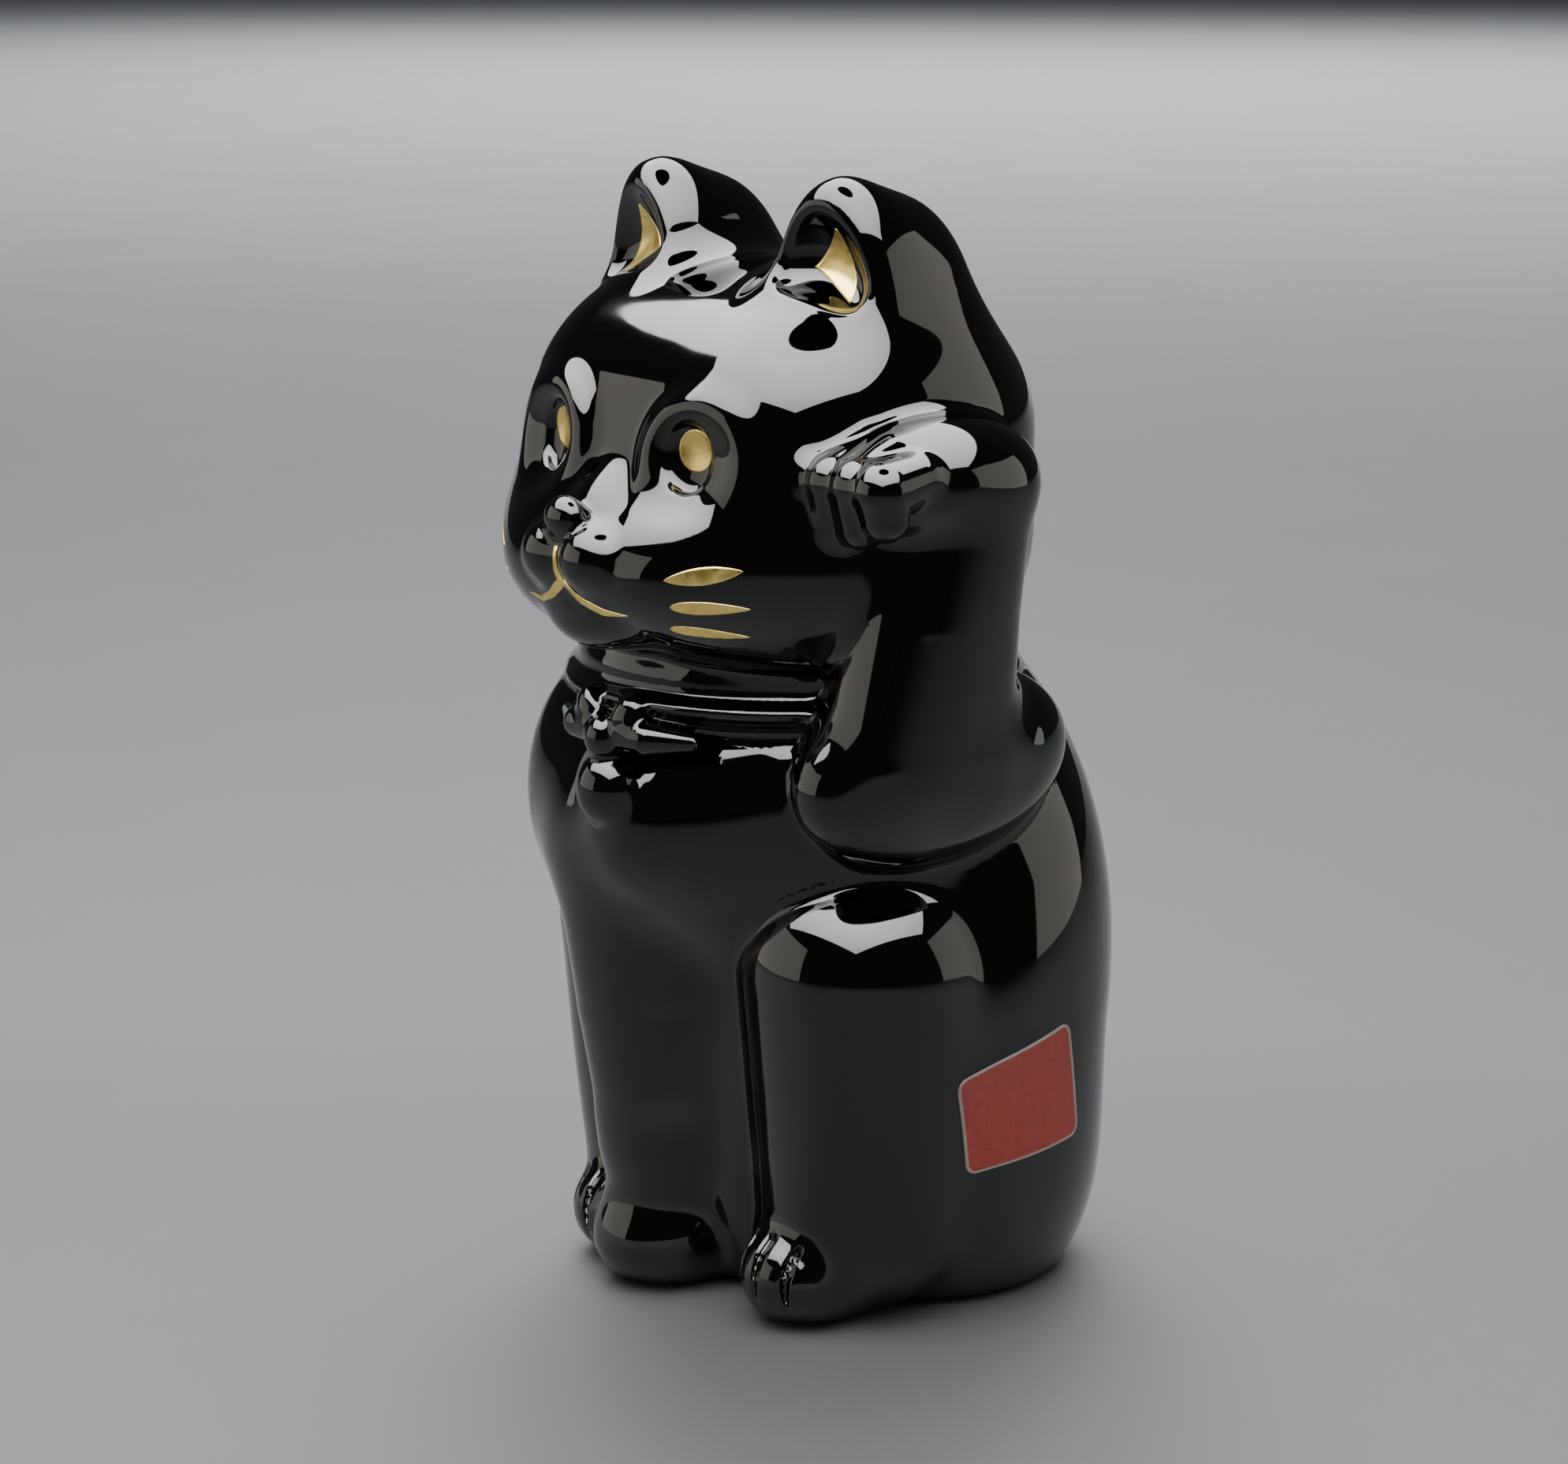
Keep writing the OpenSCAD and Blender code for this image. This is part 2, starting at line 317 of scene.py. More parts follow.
@dataclass
class CatForm:
    """The whole casting as one form."""

    sizes: CatSizes = field(default_factory=CatSizes)

    def build(self) -> Form:
        """Joins body, legs, head, raised arm and trim.

        Returns:
            The finished form.
        """
        body = Form(parts=[(self._trunk(), 1.0), (self._haunches(), 0.9)])
        self._neck(body)
        whole = Form(parts=[(body, 1.0), (self._head(), 1.2)], base_edge=1.3)
        self._arm(whole)
        self._bow(whole)
        self._grooves(whole)
        return whole

    def _trunk(self) -> Form:
        """Back, belly, shoulders, chest and the right foreleg.

        Returns:
            The trunk as a form of its own.
        """
        form = Form()
        form.add(Blob((0, 9.2, 30), (23.6, 18.8, 31.5)), 1.0)
        form.add(Blob((0, 8.4, 10), (22.4, 18.8, 19)), 6.0)
        form.add(Blob((14.2, 4.0, 21.5), (9.3, 13.0, 18.3)), 6.0, both=True)
        form.add(Blob((0, 0.3, 44.5), (19.9, 19.2, 15.5)), 5.0)
        form.add(Blob((-12.4, -9.0, 43.5), (9.6, 9.8, 13.5)), 5.0)
        form.add(Blob((7.5, -5.5, 47), (9.0, 9.0, 9.0)), 4.0)
        form.add(Blob((-2, -12.6, 43.0), (11.0, 8.6, 10.5)), 5.0)
        form.add(Blob((1.0, -4.6, 25), (8.8, 8.0, 24)), 7.0)
        form.add(Blob((0, -19.6, 44.0), (3.6, 2.4, 5.2)), 2.5)
        foreleg = ((-6.4, -12.2, 39), (-5.0, -12.8, 26), (-4.0, -12.6, 14))
        form.add(Limb(foreleg, (8.6, 7.0, 5.7)), 3.0)
        form.add(Limb(((-4.0, -12.6, 15), (-4.6, -11.4, 5)), (5.7, 5.6)), 1.6)
        form.add(Blob((-4.6, -11.2, 4.2), (6.6, 7.6, 5.6)), 1.8)
        return form

    def _haunches(self) -> Form:
        """Both haunches with their hind feet.

        Returns:
            The haunches as a form of their own.
        """
        haunch = Form()
        haunch.add(Limb(((13.0, -4.4, 30.8), (12.6, -3.6, 9)), (10.3, 9.0)), 1.0, both=True)
        haunch.add(Blob((14.0, 4.0, 21.3), (9.0, 12.4, 17.8)), 6.0, both=True)
        haunch.add(Blob((self.sizes.foot_x, -8.6, 4.2), (5.9, 7.0, 5.2)), 1.6, both=True)
        return haunch

    def _neck(self, form: Form) -> None:
        """Neck and the collar band."""
        form.add(Blob((0, -1.2, 57.5), (18.6, 18.8, 5.0)), 3.0)
        form.add(Blob((0, -1.4, 55.0), (19.7, 19.9, 3.0)), 1.6)

    def _head(self) -> Form:
        """Skull, cheeks, muzzle, ears and eye hollows.

        Returns:
            The head as a form of its own.
        """
        s = self.sizes
        head = Form()
        for side in Side:
            head.parts.append((self._ear(side), 0.5))
        head.add(Blob((0, -2.4, s.head_z + 0.9), (13.2, 17.7, 14.3), stretch=9.4), 3.0)
        head.add(Blob((0, -4.1, s.head_z - 8.4), (16.6, 19.3, 12.2), stretch=7.6), 4.0)
        head.add(Blob((0, -15.0, 66.8), (10.0, 11.0, 7.1), stretch=5.0), 3.2)
        head.add(Blob((0, -20.4, 70.0), (3.0, 4.0, 4.6), (-12, 0, 0)), 2.6)
        head.add(Blob((0, -22.4, 62.6), (5.0, 3.4, 2.8)), 2.5)
        turn = (-5, 0, 19)
        rim = Ring((s.eye_x + 1.0, -19.0, s.eye_z - 0.2), (4.5, 4.0), 0.6, turn)
        hollow = Blob((s.eye_x + 1.3, -22.6, s.eye_z - 0.3), (4.1, 2.5, 3.6), turn)
        dish = Blob((s.eye_x + 0.5, -19.9, s.eye_z - 0.3), (2.3, 1.0, 2.9), turn)
        head.add(rim, 3.0, both=True)
        head.carve(hollow, 2.6, both=True)
        head.carve(dish, 0.7, both=True)
        head.add(Blob((2.6, -25.2, 68.0), (3.1, 2.7, 2.9)), 1.4, both=True)
        head.add(Blob((0, -26.0, 71.3), (2.2, 1.6, 1.9)), 0.8)
        return head

    def _ear(self, side: Side) -> Form:
        """One ear: a deep dome cut off in front and hollowed.

        Args:
            side: the cat's side.

        Returns:
            The ear as a form of its own.
        """
        s = side.value
        ear = Form()
        ear.add(Blob((s * 12.2, -5.6, 85.5), (6.4, 7.6, 14.1)), 1.0)
        ear.add(Blob((s * 12.2, -1.2, 83.8), (6.3, 9.8, 14.2)), 2.5)
        ear.carve(Blob((s * 28.2, -67.0, 91.4), (60, 60, 60)), 2.4)
        ear.carve(Blob((s * 12.6, -9.0, 89.6), (4.9, 3.1, 7.6), (6, s * -5, s * 14)), 1.0)
        return ear

    def _arm(self, form: Form) -> None:
        """The raised left arm: upper arm, forearm and the bent paw."""
        s = self.sizes
        form.add(Blob((s.arm_x - 2.7, -2.2, 50.0), (7.5, 14.3, 8.4), (6, 0, 0)), 1.6)
        front = ((s.arm_x - 1.2, -7.6, 51.5), (s.arm_x - 0.2, -6.2, 63), (s.arm_x, -3.8, 73.6))
        rear = ((s.arm_x - 1.2, -2.8, 52.5), (s.arm_x - 0.4, -2.2, 64), (s.arm_x, -1.2, 73))
        form.add(Limb(front, (6.6, 6.0, 5.8)), 1.5)
        form.add(Limb(rear, (6.4, 6.0, 5.9)), 2.5)
        paw = Form()
        paw.add(Blob((s.arm_x + 0.1, -4.6, 75.2), (s.arm_r + 0.2, 10.0, 5.5)), 1.0)
        for off, drop in ((-4.6, 0.9), (-1.6, 0.0), (1.5, 0.1), (4.4, 1.1)):
            x = s.arm_x + off
            finger = ((x, -10.2, 77.4 - drop), (x, -13.9, 75.6), (x, -13.6, 72.2 + drop))
            paw.add(Limb(finger, (2.1, 2.5, 2.0)), 0.9)
        form.parts.append((paw, 1.2))

    def _bow(self, form: Form) -> None:
        """The bow on the collar and the bell below it."""
        ribbon = ((1.4, -21.6, 52.0), (4.6, -21.1, 52.3), (10.6, -18.2, 52.4))
        form.add(Limb(ribbon, (1.2, 1.5, 0.4)), 0.9, both=True)
        form.add(Blob((2.5, -21.4, 53.6), (1.7, 1.3, 2.3), (0, 28, 12)), 0.8, both=True)
        form.add(Blob((0, -22.0, 51.8), (1.9, 1.8, 2.0)), 0.6)
        form.add(Blob((-0.2, -21.4, 47.2), (3.0, 2.9, 3.4)), 0.7)

    def _grooves(self, form: Form) -> None:
        """Toe grooves on the three paws that stand."""
        s = self.sizes
        paws = [((side.value * s.foot_x, -8.2, 4.2), (5.7, 6.8, 5.1), 2.7) for side in Side]
        paws.append(((-5.0, -10.4, 4.2), (6.4, 7.4, 5.3), 2.9))
        for centre, radii, gap in paws:
            for off in (-gap, 0.0, gap):
                form.carve(self._toe_line(centre, radii, off, -20, 52), 0.8)

    @staticmethod
    def _toe_line(centre: Point, radii: Point, off: float, low: float, high: float) -> Limb:
        """A groove over the front of a paw.

        Args:
            centre: the paw's centre.
            radii: its three radii.
            off: sideways place of the groove.
            low: where it starts, in degrees below the horizontal.
            high: where it ends, in degrees.

        Returns:
            A thin limb that follows the paw's surface.
        """
        k = math.sqrt(max(0.05, 1 - (off / radii[0]) ** 2))
        pts, rad = [], []
        for i in range(9):
            t = math.radians(low + (high - low) * i / 8)
            pts.append((
                centre[0] + off,
                centre[1] - radii[1] * k * math.cos(t),
                centre[2] + radii[2] * k * math.sin(t),
            ))
            rad.append(0.36 * math.sin(math.pi * (0.12 + 0.76 * i / 8)))
        return Limb(tuple(pts), tuple(rad))


# ---------------------------------------------------------------- skin


@dataclass
class Skin:
    """Draws a fine closed mesh on to a form."""

    form: Form
    coarse: float = 0.95
    fine: float = 0.55
    detail: Sequence[tuple[Point, Point]] = ()

    def build(self, name: str) -> bpy.types.Object:
        """Makes the mesh object, in metres.

        Args:
            name: the object's name.

        Returns:
            The object, linked to the scene.
        """
        bm = bmesh.new()
        self.form.seeds(bm)
        mesh = bpy.data.meshes.new(name)
        bm.to_mesh(mesh)
        bm.free()
        obj = bpy.data.objects.new(name, mesh)
        bpy.context.scene.collection.objects.link(obj)
        self._remesh(obj, self.coarse)
        self._settle(obj, rounds=8, relax=0.5)
        self._remesh(obj, self.fine)
        self._settle(obj, rounds=4, relax=0.5)
        self._refine(obj)
        self._settle(obj, rounds=7, relax=0.45, last_exact=3)
        self._finish(obj)
        return obj

    @staticmethod
    def _remesh(obj: bpy.types.Object, size: float) -> None:
        """Replaces the mesh by its voxel remesh of that size."""
        mod = obj.modifiers.new("remesh", "REMESH")
        mod.mode, mod.voxel_size = "VOXEL", size
        graph = bpy.context.evaluated_depsgraph_get()
        made = bpy.data.meshes.new_from_object(obj.evaluated_get(graph))
        obj.modifiers.clear()
        old, obj.data = obj.data, made
        bpy.data.meshes.remove(old)

    @staticmethod
    def _points(mesh: bpy.types.Mesh) -> Array:
        """Vertex places as an array."""
        co = np.empty(len(mesh.vertices) * 3, np.float32)
        mesh.vertices.foreach_get("co", co)
        return co.reshape(-1, 3).astype(float)

    def _settle(
        self, obj: bpy.types.Object, rounds: int, relax: float, last_exact: int = 0
    ) -> None:
        """Moves the vertices on to the form and evens them out along it.

        Args:
            obj: the mesh object.
            rounds: how many steps.
            relax: share of the way to the neighbours' middle at each step.
            last_exact: how many last steps only move on to the form.
        """
        mesh = obj.data
        p = self._points(mesh)
        e = np.empty(len(mesh.edges) * 2, np.int32)
        mesh.edges.foreach_get("vertices", e)
        e = e.reshape(-1, 2)
        degree = np.maximum(np.bincount(e.ravel(), minlength=len(p)), 1).astype(float)
        for i in range(rounds):
            d, g = self.form.slope(p)
            n2 = (g * g).sum(1)
            p = p - g * (np.clip(d, -1.5, 1.5) / np.maximum(n2, 0.25))[:, None]
            if i < rounds - last_exact:
                n = g / np.sqrt(np.maximum(n2, 1e-9))[:, None]
                total = np.stack([
                    np.bincount(e[:, 0], p[e[:, 1], c], len(p))
                    + np.bincount(e[:, 1], p[e[:, 0], c], len(p))
                    for c in range(3)
                ], axis=1)
                pull = total / degree[:, None] - p
                pull -= n * (pull * n).sum(1)[:, None]
                p = p + relax * pull
        mesh.vertices.foreach_set("co", p.astype(np.float32).ravel())
        mesh.update()

    def _refine(self, obj: bpy.types.Object) -> None:
        """Halves the faces inside the detail boxes."""
        bm = bmesh.new()
        bm.from_mesh(obj.data)
        chosen = []
        for edge in bm.edges:
            m = (edge.verts[0].co + edge.verts[1].co) / 2
            if any(all(lo[i] <= m[i] <= hi[i] for i in range(3)) for lo, hi in self.detail):
                chosen.append(edge)
        bmesh.ops.subdivide_edges(bm, edges=chosen, cuts=1, use_grid_fill=True)
        bmesh.ops.triangulate(bm, faces=[f for f in bm.faces if len(f.verts) > 4])
        bm.to_mesh(obj.data)
        bm.free()

    def _finish(self, obj: bpy.types.Object) -> None:
        """Smooth shading with the form's own normals, and metres."""
        mesh = obj.data
        p = self._points(mesh)
        normals = self.form.normals(p)
        mesh.polygons.foreach_set("use_smooth", [True] * len(mesh.polygons))
        mesh.transform(Matrix.Scale(MM, 4))
        mesh.normals_split_custom_set_from_vertices(normals.tolist())
        mesh.update()


# ---------------------------------------------------------------- finishes


def new_material(name: str) -> tuple[bpy.types.Material, bpy.types.Node, bpy.types.NodeTree]:
    """A node material with its main shader.

    Args:
        name: the material's name.

    Returns:
        The material, its Principled shader and its node tree.
    """
    mat = bpy.data.materials.new(name)
    mat.use_nodes = True
    tree = mat.node_tree
    return mat, tree.nodes["Principled BSDF"], tree


@dataclass(frozen=True)
class Grain:
    """A noise pattern on the piece's own coordinates."""

    scale: float
    detail: float = 2.0
    coords: str = "Object"

    def node(self, tree: bpy.types.NodeTree) -> bpy.types.Node:
        """Adds the noise to a material and returns its node."""
        coord = tree.nodes.new("ShaderNodeTexCoord")
        noise = tree.nodes.new("ShaderNodeTexNoise")
        noise.inputs["Scale"].default_value = self.scale
        noise.inputs["Detail"].default_value = self.detail
        tree.links.new(coord.outputs[self.coords], noise.inputs["Vector"])
        return noise


def ramp(tree: bpy.types.NodeTree, source: bpy.types.NodeSocket,
         stops: Iterable[tuple[float, tuple[float, ...]]]) -> bpy.types.Node:
    """A colour ramp fed by a socket.

    Args:
        tree: the node tree.
        source: the factor.
        stops: places and colours.

    Returns:
        The ramp node.
    """
    node = tree.nodes.new("ShaderNodeValToRGB")
    tree.links.new(source, node.inputs["Fac"])
    items = list(stops)
    while len(node.color_ramp.elements) < len(items):
        node.color_ramp.elements.new(0.5)
    for element, (at, colour) in zip(node.color_ramp.elements, items):
        element.position = at
        element.color = colour if len(colour) == 4 else (*colour, 1.0)
    return node


@dataclass(frozen=True)
class BlackCrystal:
    """Opaque black lead crystal, fire-polished, with faint waviness and handling marks."""

    ior: float = 1.58

    def material(self) -> bpy.types.Material:
        """Builds the finish."""
        mat, shader, tree = new_material("black_crystal")
        shader.inputs["IOR"].default_value = self.ior
        smear = Grain(90.0, 3.0).node(tree)
        rough = ramp(tree, smear.outputs["Fac"], [(0.35, (0.015,) * 3), (0.75, (0.05,) * 3)])
        tree.links.new(rough.outputs["Color"], shader.inputs["Roughness"])
        tint = Grain(40.0, 2.0).node(tree)
        stops = [(0.3, (0.0035, 0.0033, 0.004)), (0.7, (0.006, 0.0055, 0.0065))]
        colour = ramp(tree, tint.outputs["Fac"], stops)
        tree.links.new(colour.outputs["Color"], shader.inputs["Base Color"])
        wave = Grain(120.0, 1.0).node(tree)
        bump = tree.nodes.new("ShaderNodeBump")
        bump.inputs["Strength"].default_value = 0.05
        bump.inputs["Distance"].default_value = 0.00025
        tree.links.new(wave.outputs["Fac"], bump.inputs["Height"])
        tree.links.new(bump.outputs["Normal"], shader.inputs["Normal"])
        return mat


@dataclass(frozen=True)
class FiredGold:
    """Burnished fired gold, brushed on by hand, with fine brush lines and pinholes."""

    colour: tuple[float, float, float] = (0.95, 0.72, 0.22)

    def material(self) -> bpy.types.Material:
        """Builds the finish."""
        mat, shader, tree = new_material("fired_gold")
        shader.inputs["Metallic"].default_value = 0.8
        tone = Grain(900.0, 3.0).node(tree)
        r, g, b = self.colour
        colour = ramp(
            tree, tone.outputs["Fac"],
            [(0.3, (r * 0.86, g * 0.82, b * 0.72)), (0.7, (min(1, r * 1.06), g * 1.08, b * 1.15))],
        )
        tree.links.new(colour.outputs["Color"], shader.inputs["Base Color"])
        rough = ramp(tree, tone.outputs["Fac"], [(0.3, (0.24,) * 3), (0.75, (0.38,) * 3)])
        tree.links.new(rough.outputs["Color"], shader.inputs["Roughness"])
        brush = Grain(2600.0, 2.0).node(tree)
        bump = tree.nodes.new("ShaderNodeBump")
        bump.inputs["Strength"].default_value = 0.25
        bump.inputs["Distance"].default_value = 0.00005
        tree.links.new(brush.outputs["Fac"], bump.inputs["Height"])
        tree.links.new(bump.outputs["Normal"], shader.inputs["Normal"])
        return mat


@dataclass(frozen=True)
class CoatedPaper:
    """Red coated label paper with a thin white cut edge and faint printing mottle."""

    red: tuple[float, float, float] = (0.72, 0.06, 0.035)
    edge: tuple[float, float, float] = (0.72, 0.6, 0.55)
    border: float = 0.026

    def material(self) -> bpy.types.Material:
        """Builds the finish."""
        mat, shader, tree = new_material("red_label_paper")
        uv = tree.nodes.new("ShaderNodeUVMap")
        split = tree.nodes.new("ShaderNodeSeparateXYZ")
        tree.links.new(uv.outputs["UV"], split.inputs["Vector"])
        near = [self._from_edge(tree, split.outputs[axis]) for axis in ("X", "Y")]
        low = tree.nodes.new("ShaderNodeMath")
        low.operation = "MINIMUM"
        for i, node in enumerate(near):
            tree.links.new(node.outputs[0], low.inputs[i])
        stops = [(self.border * 0.7, (0,) * 3), (self.border, (1,) * 3)]
        inside = ramp(tree, low.outputs[0], stops)
        mottle = Grain(1500.0, 3.0).node(tree)
        r, g, b = self.red
        ink = ramp(
            tree, mottle.outputs["Fac"],
            [(0.3, (r * 0.88, g * 0.85, b * 0.85)), (0.7, (r * 1.08, g * 1.15, b * 1.15))],
        )
        mix = tree.nodes.new("ShaderNodeMix")
        mix.data_type = "RGBA"
        tree.links.new(inside.outputs["Color"], mix.inputs["Factor"])
        mix.inputs["A"].default_value = (*self.edge, 1)
        tree.links.new(ink.outputs["Color"], mix.inputs["B"])
        tree.links.new(mix.outputs["Result"], shader.inputs["Base Color"])
        shader.inputs["Roughness"].default_value = 0.68
        fibre = Grain(3500.0, 4.0).node(tree)
        bump = tree.nodes.new("ShaderNodeBump")
        bump.inputs["Strength"].default_value = 0.2
        bump.inputs["Distance"].default_value = 0.00004
        tree.links.new(fibre.outputs["Fac"], bump.inputs["Height"])
        tree.links.new(bump.outputs["Normal"], shader.inputs["Normal"])
        return mat

    @staticmethod
    def _from_edge(tree: bpy.types.NodeTree, socket: bpy.types.NodeSocket) -> bpy.types.Node:
        """Distance of a 0 to 1 coordinate from its nearer end."""
        centre = tree.nodes.new("ShaderNodeMath")
        centre.operation = "PINGPONG"
        centre.inputs[1].default_value = 0.5
        tree.links.new(socket, centre.inputs[0])
        return centre


# ---------------------------------------------------------------- patches


Outline = Callable[[float, float], tuple[float, float]]


def disc(width: float, height: float) -> Outline:
    """An oval of that width and height, from a square grid."""

    def shape(u: float, v: float) -> tuple[float, float]:
        """One grid point on the oval."""
        x, y = u * math.sqrt(1 - v * v / 2), v * math.sqrt(1 - u * u / 2)
        return x * width / 2, y * height / 2

    return shape


def leaf(length: float, height: float, blunt: float) -> Outline:
    """A leaf that is blunt at its inner end and pointed at its outer end."""

    def shape(u: float, v: float) -> tuple[float, float]:
        """One grid point on the leaf."""
        t = (u + 1) / 2
        wide = math.sin(math.pi * t ** blunt) ** 0.75 if 0 < t < 1 else 0.0
        return u * length / 2, v * max(wide, 0.03) * height / 2

    return shape


def flipped(outline: Outline) -> Outline:
    """The same outline, left to right."""

    def shape(u: float, v: float) -> tuple[float, float]:
        """One grid point on the flipped outline."""
        x, y = outline(-u, v)
        return -x, y

    return shape


def panel(width: float, height: float, corner: float, flare: float = 0.0) -> Outline:
    """A rectangle with rounded corners that may be taller at its right end."""

    def shape(u: float, v: float) -> tuple[float, float]:
        """One grid point on the rectangle."""
        x, y = u * width / 2, v * height / 2
        dx, dy = abs(x) - (width / 2 - corner), abs(y) - (height / 2 - corner)
        if dx > 0 and dy > 0:
            far = max(dx, dy)
            k = far / math.hypot(dx, dy)
            x = math.copysign(width / 2 - corner + dx * k, x)
            y = math.copysign(height / 2 - corner + dy * k, y)
        return x, y * (1 + flare * x / width)

    return shape


def wedge(corners: Sequence[tuple[float, float]]) -> Outline:
    """A three-cornered patch: left foot, right foot and top, with slightly bowed sides."""

    def shape(u: float, v: float) -> tuple[float, float]:
        """One grid point on the wedge."""
        (lx, ly), (rx, ry), (tx, ty) = corners
        a, t = (u + 1) / 2, (v + 1) / 2
        narrow = (1 - t) * 0.94 + 0.06 * (1 - t * t)
        bx, by = lx + (rx - lx) * a, ly + (ry - ly) * a
        mx, my = (lx + rx) / 2, (ly + ry) / 2
        px, py = mx + (bx - mx) * (narrow + 0.04), my + (by - my) * (narrow + 0.04)
        return px + (tx - mx) * t, py + (ty - my) * t

    return shape


@dataclass
class Patch:
    """A thin film laid on a form."""

    name: str
    origin: Point
    facing: Point
    outline: Outline
    cells: tuple[int, int] = (24, 12)
    lift: float = 0.03
    thickness: float = 0.1
    turn: float = 0.0

    def build(self, form: Form) -> bpy.types.Object:
        """Makes the film.

        Args:
            form: the form that it lies on.

        Returns:
            The film as an object, in metres.
        """
        out = Vector(self.facing).normalized()
        across = Vector((0, 0, 1)).cross(out).normalized()
        up = out.cross(across)
        spin = Matrix.Rotation(math.radians(self.turn), 3, out)
        across, up = spin @ across, spin @ up
        bm = bmesh.new()
        bmesh.ops.create_grid(
            bm, x_segments=self.cells[0], y_segments=self.cells[1], size=1.0, calc_uvs=True
        )
        uv = bm.loops.layers.uv.verify()
        for face in bm.faces:
            for loop in face.loops:
                loop[uv].uv = ((loop.vert.co.x + 1) / 2, (loop.vert.co.y + 1) / 2)
        flat = [self.outline(v.co.x, v.co.y) for v in bm.verts]
        start = np.array([
            tuple(Vector(self.origin) + across * s + up * t + out * DROP_START) for s, t in flat
        ])
        found = self._drop(form, start, -np.array(tuple(out)))
        normals = form.normals(found)
        placed = found + normals * self.lift
        for v, q in zip(bm.verts, placed):
            v.co = Vector(q) * MM
        bmesh.ops.recalc_face_normals(bm, faces=bm.faces[:])
        if sum(f.normal.dot(out) for f in bm.faces) < 0:
            bmesh.ops.reverse_faces(bm, faces=bm.faces[:])
        mesh = bpy.data.meshes.new(self.name)
        bm.to_mesh(mesh)
        bm.free()
        mesh.polygons.foreach_set("use_smooth", [True] * len(mesh.polygons))
        obj = bpy.data.objects.new(self.name, mesh)
        bpy.context.scene.collection.objects.link(obj)
        wall = obj.modifiers.new("thickness", "SOLIDIFY")
        wall.thickness, wall.offset = self.thickness * MM, -1.0
        return obj

    @staticmethod
    def _drop(form: Form, start: Array, way: Array) -> Array:
        """Walks points along one direction until they meet the form."""
        p = start.copy()
        for _ in range(DROP_STEPS):
            d = form.value(p)
            p = p + way * np.clip(d, -0.4, 0.6)[:, None] * 0.9
        return p


# ---------------------------------------------------------------- the figure


@dataclass
class Casting:
    """The crystal body."""

    form: Form
    finish: BlackCrystal = field(default_factory=BlackCrystal)

    def build(self) -> bpy.types.Object:
        """Makes the casting and puts it in the frame."""
        detail = (
            ((-15, -32, 58), (15, -17, 84)),
            ((13, -20, 66), (31, 4, 87)),
            ((-9, -27, 42), (9, -17, 57)),
            ((-19, -20, -1), (19, -8, 10)),
            ((-20, -18, 82), (20, -5, 100)),
        )
        obj = Skin(self.form, detail=detail).build("crystal_casting")
        obj.data.materials.append(self.finish.material())
        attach(obj, "root")
        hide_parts("crystal_body")
        return obj


